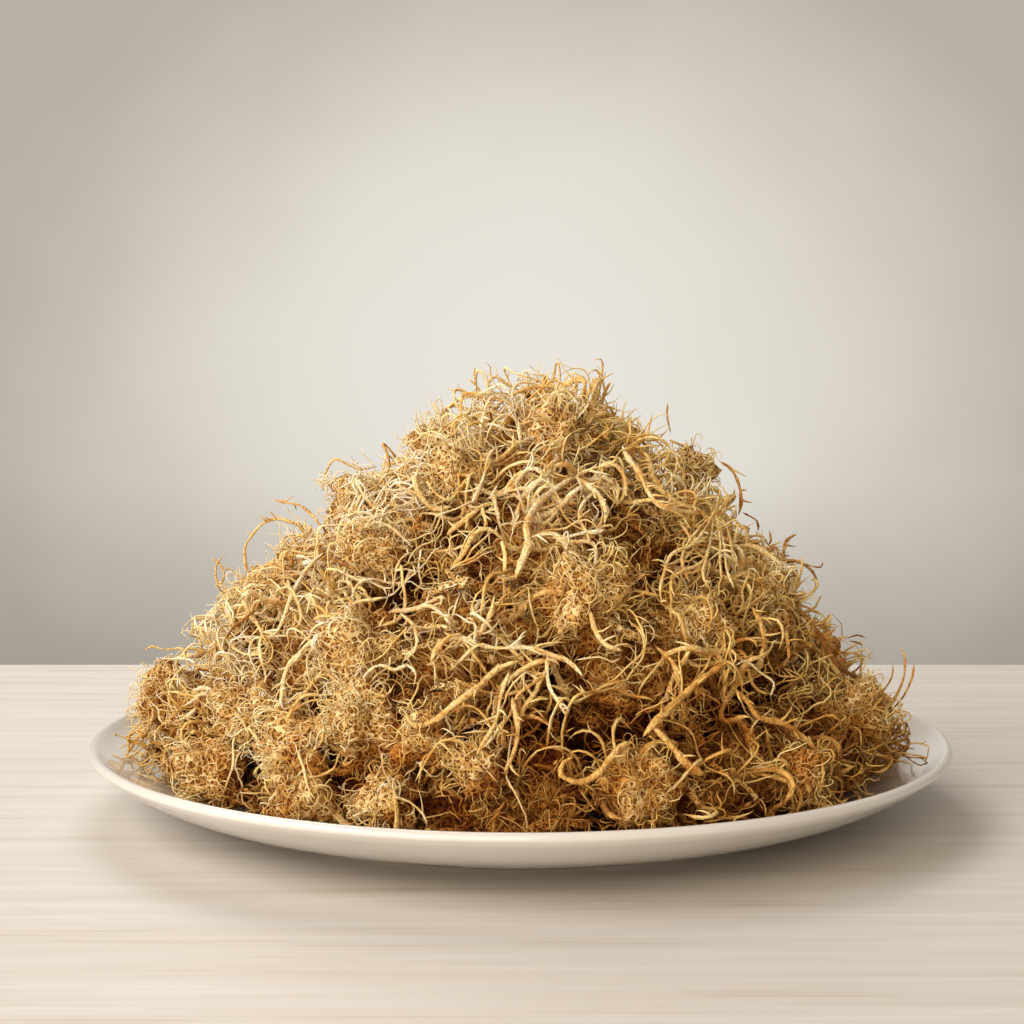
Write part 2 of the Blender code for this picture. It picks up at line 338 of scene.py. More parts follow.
def outward(point):
    """The way out of the heap from a point."""
    reach = 0.002
    slope = [
        heap_depth(point - reach * axis) - heap_depth(point + reach * axis)
        for axis in (Vector((1, 0, 0)), Vector((0, 1, 0)), Vector((0, 0, 1)))
    ]
    return Vector(slope).normalized()


def tuft(point):
    """0 in one of the grooves that part the heap into tufts, 1 on a tuft."""
    bent = point + TUFT_BEND * noise.noise_vector(point / TUFT_BEND / BEND_LENGTHS)
    first, second = noise.voronoi(bent / TUFT_SIZE)[0][:2]
    return min(1.0, (second - first) / GROOVE_WIDTH)


def painted_shade(point):
    """Painted shade at a point, for the depth attribute: 0 outside, 1 in the dark of a hollow of the
    heap.
    """
    groove = GROOVE_SHADE * (1 - tuft(point))
    low = LOW_SHADE * min(1.0, max(0.0, (LOW_LEVEL - point.z) / LOW_SPAN))
    low += PIT_SHADE * pit(point)
    return min(1.0, max(0.0, (heap_depth(point) - SHADE_START) / SHADE_SPAN + groove + low))


def packed_moss():
    """The felted inside of a clump: matte, deep amber, with curling paler threads in its surface,
    painted shade in the gaps between them and painted shade by depth.
    """
    made, tree = material_named("packed_moss")
    place = add(tree, "TexCoord", {}, {}).outputs["Object"]
    # A thread runs wherever a noise passes through its middle value; three layers of them lie
    # on each other, 1.6, 2.1 and 3 mm apart, the palest and widest apart on top
    colour, height = None, None
    for scale, width, code, level in (
        (620.0, 0.120, "#B88C48", 0.35),
        (470.0, 0.085, "#DCB670", 0.7),
        (330.0, 0.060, "#F2DDA6", 1.0),
    ):
        field = add(tree, "TexNoise", {}, {"Vector": place, "Scale": scale, "Detail": 0.6})
        off = add(tree, "Math", {"operation": "SUBTRACT"}, {0: field.outputs["Fac"], 1: 0.5})
        side = add(tree, "Math", {"operation": "ABSOLUTE"}, {0: off.outputs[0]})
        thread = add(
            tree,
            "MapRange",
            {"interpolation_type": "SMOOTHSTEP"},
            {"Value": side.outputs[0], 1: 0.35 * width, 2: width, 3: 1.0, 4: 0.0},
        )
        # The dark ground under the threads, #704214, is painted shade in the gaps of the felt
        tone = add(
            tree,
            "Mix",
            {"data_type": "RGBA"},
            {0: thread.outputs[0], 6: colour or linear("#704214"), 7: linear(code)},
        )
        raised = add(tree, "Math", {"operation": "MULTIPLY"}, {0: thread.outputs[0], 1: level})
        if height is None:
            height = raised.outputs[0]
        else:
            height = add(
                tree, "Math", {"operation": "MAXIMUM"}, {0: height, 1: raised.outputs[0]}
            ).outputs[0]
        colour = tone.outputs[2]
    # Painted shade: darker and redder the deeper it lies
    depth = add(tree, "Attribute", {"attribute_name": "depth"}, {}).outputs["Fac"]
    shade = add(
        tree,
        "ValToRGB",
        {"stops": [(0.0, "#FFFFFF"), (0.5, "#DDB478"), (1.0, "#824E1E")]},
        {"Fac": depth},
    )
    tone = add(
        tree,
        "Mix",
        {"data_type": "RGBA", "blend_type": "MULTIPLY"},
        {0: 1.0, 6: colour, 7: shade.outputs["Color"]},
    )
    bump = add(tree, "Bump", {}, {"Height": height, "Strength": 1.0, "Distance": 0.0009})
    shader = add(
        tree,
        "BsdfPrincipled",
        {},
        {
            "Base Color": tone.outputs[2],
            "Normal": bump.outputs["Normal"],
            "Roughness": 0.8,
            "IOR": 1.45,
            "Specular IOR Level": 0.2,
        },
    )
    add(tree, "OutputMaterial", {}, {"Surface": shader.outputs["BSDF"]})
    return made


packed = packed_moss()
bodies = {}
for name in clump_names:
    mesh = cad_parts[name].data.copy()
    bm = bmesh.new()
    bm.from_mesh(mesh)
    bmesh.ops.remove_doubles(bm, verts=bm.verts[:], dist=1e-5)
    bm.to_mesh(mesh)
    bm.free()
    body = in_scene(f"{name}_inside", mesh)
    smooth = body.modifiers.new("smooth", "SUBSURF")
    smooth.levels = smooth.render_levels = BODY_LEVELS
    graph = bpy.context.evaluated_depsgraph_get()
    mesh = bpy.data.meshes.new_from_object(body.evaluated_get(graph))
    body.modifiers.clear()
    bm = bmesh.new()
    bm.from_mesh(mesh)
    for vert in bm.verts:
        here = vert.co.copy()
        vert.co += LUMP_HEIGHT * noise.noise(here / LUMP_SIZE) * vert.normal
        # The grooves between the tufts, and room for the threads under the outline
        depth = heap_depth(here)
        if depth < SHOWN_DEPTH:
            dip = drawn_in(here) + pit(here)
            groove = GROOVE_DEPTH * (1 - tuft(here)) ** GROOVE_CURVE
            sunk = (dip + groove) * min(1.0, 1 - depth / SHOWN_DEPTH)
            vert.co -= max(sunk, THREAD_ROOM + dip - depth) * outward(here)
    bm.to_mesh(mesh)
    bm.free()
    # The depth attribute holds painted shade: darker in the heap's hollows
    layer = mesh.attributes.new("depth", "FLOAT", "POINT")
    layer.data.foreach_set("value", [painted_shade(vert.co) for vert in mesh.vertices])
    mesh.materials.clear()
    mesh.materials.append(packed)
    mesh.shade_smooth()
    mesh.name = body.name
    body.data = mesh
    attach(body, "root")
    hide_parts(name)
    bodies[name] = body


# The threads of the moss: dried thalli, 0.4 to 0.9 mm thick, that curl over and through each
# other round every clump. Each is a three-sided tube, drawn out to a tip at both ends, which
# are tucked into the moss.
THREADS_PER_M2 = 51500
GROOVE_THREADS = 0.4
THREAD_STEP = 0.0019
THREAD_HEIGHT = (0.0004, 0.0062)
THREAD_SWAY = 0.0015
THREAD_WANDER = 1.0
THREAD_BLUNT = 7
THREAD_TINT = (0.5, 0.16)
LONG_SHARE = 0.22
LONG_STEPS = (12, 20)
LONG_TURN = (0.10, 0.35)
LONG_RADIUS = (0.00025, 0.00045)
CURLY_STEPS = (7, 13)
CURLY_TURN = (0.45, 1.0)
CURLY_RADIUS = (0.00022, 0.00036)
THREAD_GRIP = 0.003
THREAD_TUCK = 0.0045
# How a strand finds its way: what neighbours share, its own chance and the pull back to height
FLOW_SIZE = 0.020
FLOW_PULL = 0.35
JITTER = 0.15
CURL_CHANGE = 0.5
SWAY_RATE = 0.8
PULL_MOST = 0.8
STRAND_LIMIT = 0.166
PLATE_GAP = 0.0012
# Painted light and shade on the moss: paler high up and at the left, where the light falls, darker low
# at the right; and paler patches of its own
PAINTED_LIGHT = 0.17
PAINTED_LIGHT_LEVEL = 0.07
PAINTED_LIGHT_LEFT = -0.02
PAINTED_LIGHT_SPAN = 0.07
LEFT_MOST = 0.8
ZONE_SIZE = 0.028
ZONE_BLEACH = 0.16


def dried_thallus(name, wrinkle, pitted):
    """Dry seaweed: leathery, half translucent, straw to amber, with painted shade that makes it darker
    and redder in the hollows.

    pitted is how strongly its small brown pits show.
    """
    made, tree = material_named(name)
    place = add(tree, "TexCoord", {}, {}).outputs["Object"]
    # tint holds each strand's own tone with painted light and shade added; depth holds painted shade
    tint = add(tree, "Attribute", {"attribute_name": "tint"}, {}).outputs["Fac"]
    depth = add(tree, "Attribute", {"attribute_name": "depth"}, {}).outputs["Fac"]
    # Blotches of 4 mm, with finer ones in them, along each thread
    blotch = add(tree, "TexNoise", {}, {"Vector": place, "Scale": 250.0, "Detail": 4.0})
    wander = add(
        tree,
        "MapRange",
        {},
        {"Value": blotch.outputs["Fac"], 1: 0.3, 2: 0.7, 3: -0.16, 4: 0.16},
    )
    mixed = add(tree, "Math", {"operation": "ADD"}, {0: tint, 1: wander.outputs[0]})
    outside = add(
        tree,
        "ValToRGB",
        {
            "stops": [
                (0.0, "#8E6028"),
                (0.25, "#DDAF5E"),
                (0.5, "#F6D78E"),
                (0.75, "#FBE9B8"),
                (1.0, "#FDF4DF"),
            ]
        },
        {"Fac": mixed.outputs[0]},
    )
    # The inside ramp is painted shade: mixed in by depth, it makes moss in the heap's hollows darker
    # and redder
    inside = add(
        tree,
        "ValToRGB",
        {"stops": [(0.0, "#5A2C06"), (0.5, "#B07020"), (1.0, "#DCA850")]},
        {"Fac": mixed.outputs[0]},
    )
    colour = add(
        tree,
        "Mix",
        {"data_type": "RGBA"},
        {0: depth, 6: outside.outputs["Color"], 7: inside.outputs["Color"]},
    )
    # Patches where it is thin and glows amber, some 12 mm long
    thin = add(tree, "TexNoise", {}, {"Vector": place, "Scale": 85.0, "Detail": 2.0})
    amber = add(
        tree,
        "MapRange",
        {"interpolation_type": "SMOOTHSTEP"},
        {"Value": thin.outputs["Fac"], 1: 0.50, 2: 0.68, 3: 0.0, 4: 0.65},
    )
    glow = add(
        tree,
        "Mix",
        {"data_type": "RGBA", "blend_type": "MULTIPLY"},
        {0: amber.outputs[0], 6: colour.outputs[2], 7: linear("#E8C07A")},
    )
    # Pits of 0.9 mm, brown at the bottom; the real ones of 0.3 mm would be too fine to show
    pits = add(tree, "TexNoise", {}, {"Vector": place, "Scale": 1100.0, "Detail": 3.0})
    deep = add(
        tree,
        "MapRange",
        {"interpolation_type": "SMOOTHSTEP"},
        {"Value": pits.outputs["Fac"], 1: 0.56, 2: 0.38, 3: 0.0, 4: pitted},
    )
    speckled = add(
        tree,
        "Mix",
        {"data_type": "RGBA", "blend_type": "MULTIPLY"},
        {0: deep.outputs[0], 6: glow.outputs[2], 7: linear("#9A6630")},
    )
    rough = add(
        tree,
        "Math",
        {"operation": "MULTIPLY_ADD"},
        {0: pits.outputs["Fac"], 1: 1.0, 2: blotch.outputs["Fac"]},
    )
    bump = add(
        tree, "Bump", {}, {"Height": rough.outputs[0], "Strength": wrinkle, "Distance": 0.0008}
    )
    shader = add(
        tree,
        "BsdfPrincipled",
        {},
        {
            "Base Color": speckled.outputs[2],
            "Normal": bump.outputs["Normal"],
            "Roughness": 0.62,
            "IOR": 1.45,
            "Specular IOR Level": 0.2,
            "Subsurface Weight": 0.25,
            "Subsurface Radius": (0.004, 0.002, 0.0008),
            "Subsurface Scale": 0.5,
        },
    )
    add(tree, "OutputMaterial", {}, {"Surface": shader.outputs["BSDF"]})
    return made


def strand_section(name, sides, flatness):
    """The section that all strands of a kind share, a guide that isn't rendered."""
    data = bpy.data.curves.new(name, "CURVE")
    data.dimensions = "2D"
    line = data.splines.new("POLY")
    line.points.add(sides - 1)
    for number, point in enumerate(line.points):
        turn = 2 * math.pi * number / sides
        point.co = (math.cos(turn), flatness * math.sin(turn), 0, 1)
    line.use_cyclic_u = True
    guide = in_scene(name, data)
    guide.hide_render = True
    return guide


def any_way(rng):
    """A random way, of random length."""
    return Vector((rng.gauss(0, 1), rng.gauss(0, 1), rng.gauss(0, 1)))


def way_along(normal, rng):
    """A random way along the surface that has that normal."""
    spin = any_way(rng)
    return (spin - spin.dot(normal) * normal).normalized()


def clear_of_plate(point):
    """The point itself, or the nearest one that lies within the plate and over its face."""
    rho = math.hypot(point.x, point.y)
    inward = min(1.0, STRAND_LIMIT / max(rho, 1e-6))
    floor = plate_top(min(rho, STRAND_LIMIT)) + PLATE_GAP
    return Vector((point.x * inward, point.y * inward, max(point.z, floor)))


def creep(surface, start, heading, steps, rng, *, step, height, tuck, sway, turn, grip, wander):
    """A winding path that keeps to about that height over what surface(point) measures.

    tuck is how far its ends dive, sway how far it waves up and down, turn how sharply it may
    curl at a step, grip how far off it may get before it is steered back hard, and wander how
    much chance there is in it.
    """
    points = [start]
    curl = rng.uniform(-turn, turn)
    phase = rng.uniform(0, 6.3)
    for count in range(steps):
        here = points[-1]
        off, normal = surface(here)
        middle = math.sin(math.pi * (count + 1) / steps)
        wanted = height - tuck * (1 - middle) + sway * math.sin(SWAY_RATE * count + phase)
        curl += rng.uniform(-CURL_CHANGE, CURL_CHANGE) * turn
        curl = max(-turn, min(turn, curl))
        heading = Quaternion(normal, curl) @ heading
        heading += FLOW_PULL * wander * noise.noise_vector(here / FLOW_SIZE)
        heading += max(-PULL_MOST, min(PULL_MOST, (wanted - off) / grip)) * normal
        heading += JITTER * wander * any_way(rng)
        heading.normalize()
        points.append(clear_of_plate(here + step * heading))
    return points


def over_clump(tree):
    """A measure for creep: height over a clump's body, and the way up from it."""

    def surface(point):
        near, normal, _, _ = tree.find_nearest(point)
        return (point - near).dot(normal), normal

    return surface


def spindle(count, radius, blunt):
    """Radii along a strand: drawn out to nothing at both ends."""
    shares = [i / (count - 1) for i in range(count)]
    return [radius * min(1.0, min(s, 1 - s) * blunt) for s in shares]


def painted_light_and_patches(point):
    """How much paler the moss is at a point, as painted light and shade: most on top and at the left,
    where the light falls, least low at the right; plus paler patches of its own.
    """
    top = max(-1.0, min(1.0, (point.z - PAINTED_LIGHT_LEVEL) / PAINTED_LIGHT_SPAN))
    left = max(-1.0, min(LEFT_MOST, (PAINTED_LIGHT_LEFT - point.x) / PAINTED_LIGHT_SPAN))
    return PAINTED_LIGHT * (top + left) + ZONE_BLEACH * noise.noise(point / ZONE_SIZE)


def strands_mesh(name, strands, section, twist):
    """One mesh of all the strands, each given as (points, radii, tint), with its two attributes."""
    data = bpy.data.curves.new(name, "CURVE")
    data.dimensions = "3D"
    data.bevel_mode = "OBJECT"
    data.bevel_object = section
    for points, radii, _ in strands:
        line = data.splines.new("POLY")
        line.points.add(len(points) - 1)
        line.points.foreach_set("co", [c for p in points for c in (*p, 1)])
        line.points.foreach_set("radius", radii)
        line.points.foreach_set("tilt", [twist * i for i in range(len(points))])
    curve = in_scene(name, data)
    graph = bpy.context.evaluated_depsgraph_get()
    mesh = bpy.data.meshes.new_from_object(curve.evaluated_get(graph))
    bpy.data.objects.remove(curve)
    sides = len(section.data.splines[0].points)
    tints = np.repeat([tint for _, _, tint in strands], [sides * len(p) for p, _, _ in strands])
    # The depth attribute holds painted shade: darker in the heap's hollows
    depths = [painted_shade(vert.co) for vert in mesh.vertices]
    # Painted light and shade, paler on top and at the left, added to each strand's own tint
    tints = tints + [painted_light_and_patches(vert.co) for vert in mesh.vertices]
    for label, values in (("tint", tints), ("depth", depths)):
        layer = mesh.attributes.new(label, "FLOAT", "POINT")
        layer.data.foreach_set("value", values)
    bm = bmesh.new()
    bm.from_mesh(mesh)
    bmesh.ops.remove_doubles(bm, verts=bm.verts[:], dist=1e-7)
    bmesh.ops.recalc_face_normals(bm, faces=bm.faces[:])
    bm.to_mesh(mesh)
    bm.free()
    mesh.name = name
    mesh.shade_smooth()
    return mesh


def moss_piece(name, mesh, material):
    """Puts a mesh of strands in the scene as dried moss on the root body."""
    piece = in_scene(name, mesh)
    mesh.materials.append(material)
    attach(piece, "root")


threads_section = strand_section("threads_section", 3, 1.0)
thin_thallus = dried_thallus("thin_dried_thallus", 0.35, 0.25)
for number, name in enumerate(clump_names):
    rng = random.Random(100 + number)
    mesh = bodies[name].data
    tree = BVHTree.FromPolygons([v.co for v in mesh.vertices], [p.vertices for p in mesh.polygons])
    faces = [f for f in mesh.polygons if heap_depth(f.center) < SHOWN_DEPTH]
    areas = [f.area * (GROOVE_THREADS + (1 - GROOVE_THREADS) * tuft(f.center)) for f in faces]
    strands = []
    for face in rng.choices(faces, areas, k=round(THREADS_PER_M2 * sum(areas))):
        heading = way_along(face.normal, rng)
        height = rng.uniform(*THREAD_HEIGHT)
        start = face.center.copy()
        long = rng.random() < LONG_SHARE
        steps = rng.randint(*(LONG_STEPS if long else CURLY_STEPS))
        turn = rng.uniform(*(LONG_TURN if long else CURLY_TURN))
        radius = rng.uniform(*(LONG_RADIUS if long else CURLY_RADIUS))
        points = creep(
            over_clump(tree), start, heading, steps, rng,
            step=THREAD_STEP, height=height, tuck=THREAD_TUCK, sway=THREAD_SWAY,
            turn=turn, grip=THREAD_GRIP, wander=THREAD_WANDER,
        )
        radii = spindle(len(points), radius, THREAD_BLUNT)
        strands.append((points, radii, rng.gauss(*THREAD_TINT)))
    mesh = strands_mesh(f"{name}_threads", strands, threads_section, 0.0)
    moss_piece(f"{name}_threads", mesh, thin_thallus)


# The stipes: the plants' main stems, 1 to 3 mm thick, pale and slightly flattened, that run
# over the clumps and dip in and out of them. They fork, carry short pointed branchlets and fan
# out at their ends into a lock of thinner strands.
STIPE_COUNT = 200
STIPE_STEP = 0.0028
STIPE_STEPS = (8, 26)
STIPE_RADIUS = (0.0006, 0.0014)
STIPE_HEIGHT = (-0.003, 0.004)
STIPE_SWAY = 0.003
STIPE_TURN = 0.20
STIPE_GRIP = 0.012
STIPE_WANDER = 0.65
STIPE_TUCK = 0.006
STIPE_TWIST = 0.3
STIPE_BLUNT = 11
STIPE_TINT = (0.53, 0.12)
KNOBS = 0.25
FORK_ANGLE = 0.7
FORK_THICKNESS = 0.75
FORK_BLUNT = 8
TINE_SHARE = 0.35
TINE_LENGTH = (0.003, 0.009)
TINE_POINTS = 4
TINE_LEAN = (0.2, 1.2)
TINE_INWARD = -0.2
TINE_BEND = 0.5
TINE_THICKNESS = 0.75
TINE_RADIUS_MOST = 0.00070
TINE_TAPER = 0.6
TINE_TINT = (-0.05, 0.12)
BRANCH_COUNT = 540
BRANCH_STEPS = (8, 24)
BRANCH_RADIUS = (0.00032, 0.00075)
BRANCH_BLUNT = 8
BRANCH_TINT = (0.50, 0.14)
BRANCH_TINES = 0.2
WISP_COUNT = 300
WISP_ROOT = 0.004
WISP_SPREAD = 0.6
WISP_STEPS = (5, 11)
WISP_STEP = 0.0019
WISP_HEIGHT = 0.010
WISP_SWAY = 0.002
WISP_TURN = 0.5
WISP_GRIP = 0.03
WISP_WANDER = 0.8
WISP_RADIUS = (0.00022, 0.00040)
WISP_BLUNT = 3
WISP_TINT = (0.42, 0.15)
WISP_TINES = 0.15
LOCK_STRANDS = (3, 7)
LOCK_STEPS = (7, 15)
LOCK_SPREAD = 0.0055
LOCK_OPENING = 1.2
LOCK_WAVE = 0.0035
LOCK_WAVE_SIZE = 0.009
LOCK_THICKNESS = 0.8
LOCK_RADIUS = (0.0003, 0.0006)
LOCK_BLUNT = 2.5
LOCK_TINT = 0.12
# Where on_outline looks for the outline: from how low, how far out it starts, in how many moves
LOWEST_RISE = -0.15
OUTLINE_START = 0.10
OUTLINE_MOVES = 14
OVER_PLATE = 0.003


def over_heap(point):
    """A measure for creep: height over the heap's outline, and the way up from it."""
    return drawn_in(point) - heap_depth(point), outward(point)


def on_outline(rng):
    """A point drawn evenly over the heap's outline."""
    while True:
        rise = rng.uniform(LOWEST_RISE, 1.0)
        turn = rng.uniform(-math.pi, math.pi)
        level = math.cos(math.asin(max(0.0, rise)))
        ray = Vector((level * math.sin(turn), -level * math.cos(turn), rise))
        point = Vector((0, 0, HEAP_FOOT)) + OUTLINE_START * ray
        for _ in range(OUTLINE_MOVES):
            point += heap_depth(point) * ray
        if point.z > plate_top(math.hypot(point.x, point.y)) + OVER_PLATE:
            return point


def stem_path(start, heading, steps, height, rng):
    """The course of a stem over the heap: long, stiff and only gently bent."""
    return creep(
        over_heap, start, heading, steps, rng,
        step=STIPE_STEP, height=height, tuck=STIPE_TUCK, sway=STIPE_SWAY,
        turn=STIPE_TURN, grip=STIPE_GRIP, wander=STIPE_WANDER,
    )


def knobbly(count, radius, blunt, rng):
    """Radii of a stem, thicker at its joints, drawn out to nothing at both ends."""
    return [r * rng.uniform(1 - KNOBS, 1 + KNOBS) for r in spindle(count, radius, blunt)]


def tapered(count, radius, blunt):
    """Radii of a strand that springs from a stem: drawn out to nothing at its tip."""
    return [radius * min(1.0, blunt * (1 - i / (count - 1))) for i in range(count)]


def tines(points, radius, tint, share, rng):
    """Short pointed branchlets along a stem, most of them leaning towards its tip."""
    made = []
    for here, after in zip(points[1:-1], points[2:]):
        if rng.random() > share:
            continue
        along = (after - here).normalized()
        side = way_along(along, rng)
        if side.dot(outward(here)) < TINE_INWARD:
            side = -side
        length = rng.uniform(*TINE_LENGTH)
        heading = (rng.uniform(*TINE_LEAN) * along + side).normalized()
        bend = TINE_BEND * any_way(rng)
        path = [here]
        for _ in range(TINE_POINTS - 1):
            path.append(clear_of_plate(path[-1] + length / (TINE_POINTS - 1) * heading))
            heading = (heading + bend / (TINE_POINTS - 1)).normalized()
        root = min(TINE_THICKNESS * radius, TINE_RADIUS_MOST)
        radii = [root * (1 - i / (TINE_POINTS - 1)) ** TINE_TAPER for i in range(TINE_POINTS)]
        made.append((path, radii, tint + rng.uniform(*TINE_TINT)))
    return made


def lock(start, heading, radius, tint, rng):
    """The strands that a stem fans out into, which keep to one way but drift apart."""
    made = []
    steps = rng.randint(*LOCK_STEPS)
    height = rng.uniform(*STIPE_HEIGHT)
    guide = stem_path(start, heading, steps, height, rng)
    for _ in range(rng.randint(*LOCK_STRANDS)):
        aside = LOCK_SPREAD * any_way(rng)
        seed = Vector((rng.uniform(0, 99), 0, 0))
        count = rng.randint(len(guide) // 2 + 1, len(guide))
        path = []
        for number, point in enumerate(guide[:count]):
            share = number / (len(guide) - 1)
            wave = noise.noise_vector(point / LOCK_WAVE_SIZE + seed)
            wave *= LOCK_WAVE * min(1.0, 3 * share)
            path.append(clear_of_plate(point + share**LOCK_OPENING * aside + wave))
        thick = min(LOCK_THICKNESS * radius, rng.uniform(*LOCK_RADIUS))
        radii = tapered(count, thick, LOCK_BLUNT)
        made.append((path, radii, tint + rng.uniform(-LOCK_TINT, LOCK_TINT)))
    return made


rng = random.Random(11)
stipes_section = strand_section("stipes_section", 6, 0.72)
stems, branchlets = [], []
for _ in range(STIPE_COUNT):
    start = on_outline(rng)
    heading = way_along(outward(start), rng)
    steps = rng.randint(*STIPE_STEPS)
    height = rng.uniform(*STIPE_HEIGHT)
    radius = rng.uniform(*STIPE_RADIUS)
    tint = rng.gauss(*STIPE_TINT)
    points = stem_path(start, heading, steps, height, rng)
    stems.append((points, knobbly(len(points), radius, STIPE_BLUNT, rng), tint))
    branchlets += tines(points, radius, tint, TINE_SHARE, rng)
    branchlets += lock(points[-2], points[-1] - points[-2], radius, tint, rng)
    # A fork leaves from the middle third and takes its own way
    where = rng.randint(len(points) // 3, 2 * len(points) // 3)
    heading = (points[where + 1] - points[where]).normalized()
    turn = rng.choice((-FORK_ANGLE, FORK_ANGLE))
    heading = Quaternion(outward(points[where]), turn) @ heading
    fork = stem_path(points[where], heading, steps // 2, height, rng)
    stems.append((fork, knobbly(len(fork), FORK_THICKNESS * radius, FORK_BLUNT, rng), tint))
    branchlets += tines(fork, FORK_THICKNESS * radius, tint, TINE_SHARE, rng)
# Thinner branches that lie loose on the heap, with no stem of their own to be seen
for _ in range(BRANCH_COUNT):
    start = on_outline(rng)
    heading = way_along(outward(start), rng)
    radius = rng.uniform(*BRANCH_RADIUS)
    tint = rng.gauss(*BRANCH_TINT)
    points = stem_path(start, heading, rng.randint(*BRANCH_STEPS), rng.uniform(*STIPE_HEIGHT), rng)
    branchlets.append((points, knobbly(len(points), radius, BRANCH_BLUNT, rng), tint))
    branchlets += tines(points, radius, tint, BRANCH_TINES, rng)
# Wisps: the finest tips, which stand off the heap into the air
for _ in range(WISP_COUNT):
    start = on_outline(rng)
    start -= WISP_ROOT * outward(start)
    heading = (outward(start) + WISP_SPREAD * any_way(rng)).normalized()
    points = creep(
        over_heap, start, heading, rng.randint(*WISP_STEPS), rng,
        step=WISP_STEP, height=WISP_HEIGHT, tuck=0.0, sway=WISP_SWAY,
        turn=WISP_TURN, grip=WISP_GRIP, wander=WISP_WANDER,
    )
    radius = rng.uniform(*WISP_RADIUS)
    tint = rng.gauss(*WISP_TINT)
    branchlets.append((points, tapered(len(points), radius, WISP_BLUNT), tint))
    branchlets += tines(points, radius, tint, WISP_TINES, rng)
thick_thallus = dried_thallus("thick_dried_thallus", 1.0, 0.5)
mesh = strands_mesh("stipes", stems, stipes_section, STIPE_TWIST)
moss_piece("stipes", mesh, thick_thallus)
mesh = strands_mesh("branchlets", branchlets, threads_section, 0.0)
moss_piece("branchlets", mesh, thin_thallus)


# The tufts: balls of the finest threads, 15 to 40 mm across, that stand out of the clumps,
# lit on top and dark beneath. Each has a felted inside like the clumps' own.
TUFT_COUNT = 34
TUFT_RADIUS = (0.007, 0.016)
TUFT_SINK = 0.55
TUFT_FRONT = -0.02
TUFT_LUMPS = 0.7
TUFT_LUMP_RATE = 1.9
TUFT_LUMP_SHIFT = 90
CORE_LUMP_RATE = 9
# Painted shade added to the tufts' felted cores
CORE_SHADE = 0.1
TUFT_TINT = (0.56, 0.05)
# Their threads: how many to the square metre, and how far round the back of a tuft they grow
TUFT_THREADS = 84000
TUFT_BACK = -0.3
TUFT_HEIGHT = (0.0002, 0.0034)
TUFT_STEPS = (6, 13)
FRIZZ_STEP = 0.0016
FRIZZ_TUCK = 0.002
FRIZZ_SWAY = 0.0008
FRIZZ_TURN = (0.4, 1.0)
FRIZZ_GRIP = 0.003
FRIZZ_WANDER = 1.0
FRIZZ_RADIUS = (0.00020, 0.00032)
FRIZZ_BLUNT = 4
FRIZZ_TINT_SPREAD = 0.13


def tuft_reach(middle, way, radius):
    """Distance from a tuft's middle to its surface: a ball, lumpy in its own way."""
    lump = noise.noise(TUFT_LUMP_RATE * way + TUFT_LUMP_SHIFT * middle)
    return radius * (1 + TUFT_LUMPS * lump)


def over_tuft(middle, radius):
    """A measure for creep: height over a tuft, and the way up from it."""

    def surface(point):
        way = (point - middle).normalized()
        return (point - middle).length - tuft_reach(middle, way, radius), way

    return surface


# The tufts that the photo shows, as pixel and radius; the others stand behind them
front_tufts = (
    ((584, 604), 0.0165), ((480, 772), 0.0085), ((300, 745), 0.0130), ((375, 560), 0.0120),
    ((362, 655), 0.0150), ((365, 722), 0.0140), ((250, 720), 0.0120), ((170, 700), 0.0130),
    ((700, 625), 0.0110), ((305, 792), 0.0120), ((215, 772), 0.0120), ((390, 800), 0.0100),
    ((640, 790), 0.0120), ((455, 480), 0.0120), ((760, 600), 0.0120), ((690, 470), 0.0090),
    ((850, 720), 0.0140), ((560, 440), 0.0120), ((420, 745), 0.0100), ((800, 775), 0.0110),
)
rng = random.Random(23)
tufts = [(seen(*pixel, -TUFT_SINK * radius), radius) for pixel, radius in front_tufts]
while len(tufts) < TUFT_COUNT:
    place = on_outline(rng)
    radius = rng.uniform(*TUFT_RADIUS)
    if place.y > TUFT_FRONT:
        tufts.append((place - TUFT_SINK * radius * outward(place), radius))
strands = []
cores = bmesh.new()
for middle, radius in tufts:
    core = bmesh.ops.create_icosphere(cores, subdivisions=3, radius=1)["verts"]
    for vert in core:
        reach = tuft_reach(middle, vert.co, radius)
        reach += LUMP_HEIGHT * noise.noise(CORE_LUMP_RATE * vert.co)
        vert.co = clear_of_plate(middle + reach * vert.co)
    tint = rng.gauss(*TUFT_TINT)
    for _ in range(round(TUFT_THREADS * 4 * math.pi * radius**2)):
        out = any_way(rng).normalized()
        if out.dot(outward(middle)) < TUFT_BACK:
            continue
        heading = way_along(out, rng)
        height = rng.uniform(*TUFT_HEIGHT)
        start = clear_of_plate(middle + (tuft_reach(middle, out, radius) + height / 2) * out)
        steps = rng.randint(*TUFT_STEPS)
        points = creep(
            over_tuft(middle, radius), start, heading, steps, rng,
            step=FRIZZ_STEP, height=height, tuck=FRIZZ_TUCK, sway=FRIZZ_SWAY,
            turn=rng.uniform(*FRIZZ_TURN), grip=FRIZZ_GRIP, wander=FRIZZ_WANDER,
        )
        radii = spindle(len(points), rng.uniform(*FRIZZ_RADIUS), FRIZZ_BLUNT)
        strands.append((points, radii, rng.gauss(tint, FRIZZ_TINT_SPREAD)))
mesh = bpy.data.meshes.new("tufts_inside")
bmesh.ops.recalc_face_normals(cores, faces=cores.faces[:])
cores.to_mesh(mesh)
cores.free()
mesh.shade_smooth()
mesh.materials.append(packed)
# The cores' depth attribute holds painted shade, a little darker than the clumps' own
layer = mesh.attributes.new("depth", "FLOAT", "POINT")
layer.data.foreach_set("value", [CORE_SHADE + painted_shade(vert.co) for vert in mesh.vertices])
inside = in_scene("tufts_inside", mesh)
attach(inside, "root")
moss_piece("tufts", strands_mesh("tufts", strands, threads_section, 0.0), thin_thallus)
